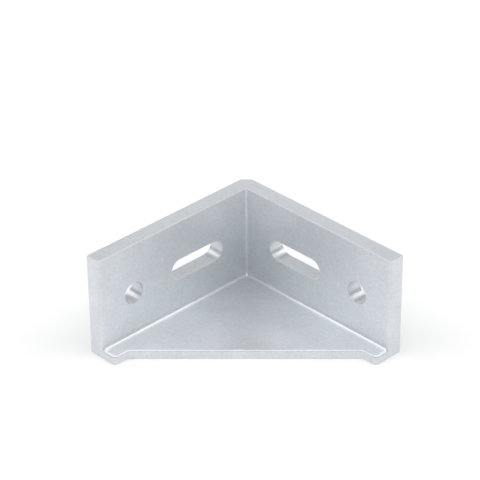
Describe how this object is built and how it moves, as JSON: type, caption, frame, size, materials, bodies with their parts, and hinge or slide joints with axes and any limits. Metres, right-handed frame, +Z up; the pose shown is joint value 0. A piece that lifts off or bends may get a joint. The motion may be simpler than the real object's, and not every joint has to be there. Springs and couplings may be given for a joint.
{
  "type": "t slot corner bracket",
  "caption": "Cast aluminium corner bracket for slotted framing profile: right-angled flanges, each with a slot and a round screw hole, joined along one side by a flat triangular web.",
  "frame": {"origin": "centre of the box round the bracket, at its underside: the middle of the square that the flanges span, on the plane of the web's underside", "axes": "+Z up through the flanges' height from the web's underside; +Y out of the right flange's mounting face; -X out of the left flange's mounting face; the outer corner is at -X +Y"},
  "size_m": [0.0768, 0.0768, 0.04],
  "materials": {
    "cast_aluminium": "fine blasted casting, satin, light silver grey"
  },
  "bodies": {
    "root": {"corner_bracket": "cast_aluminium"}
  },
  "joints": []
}
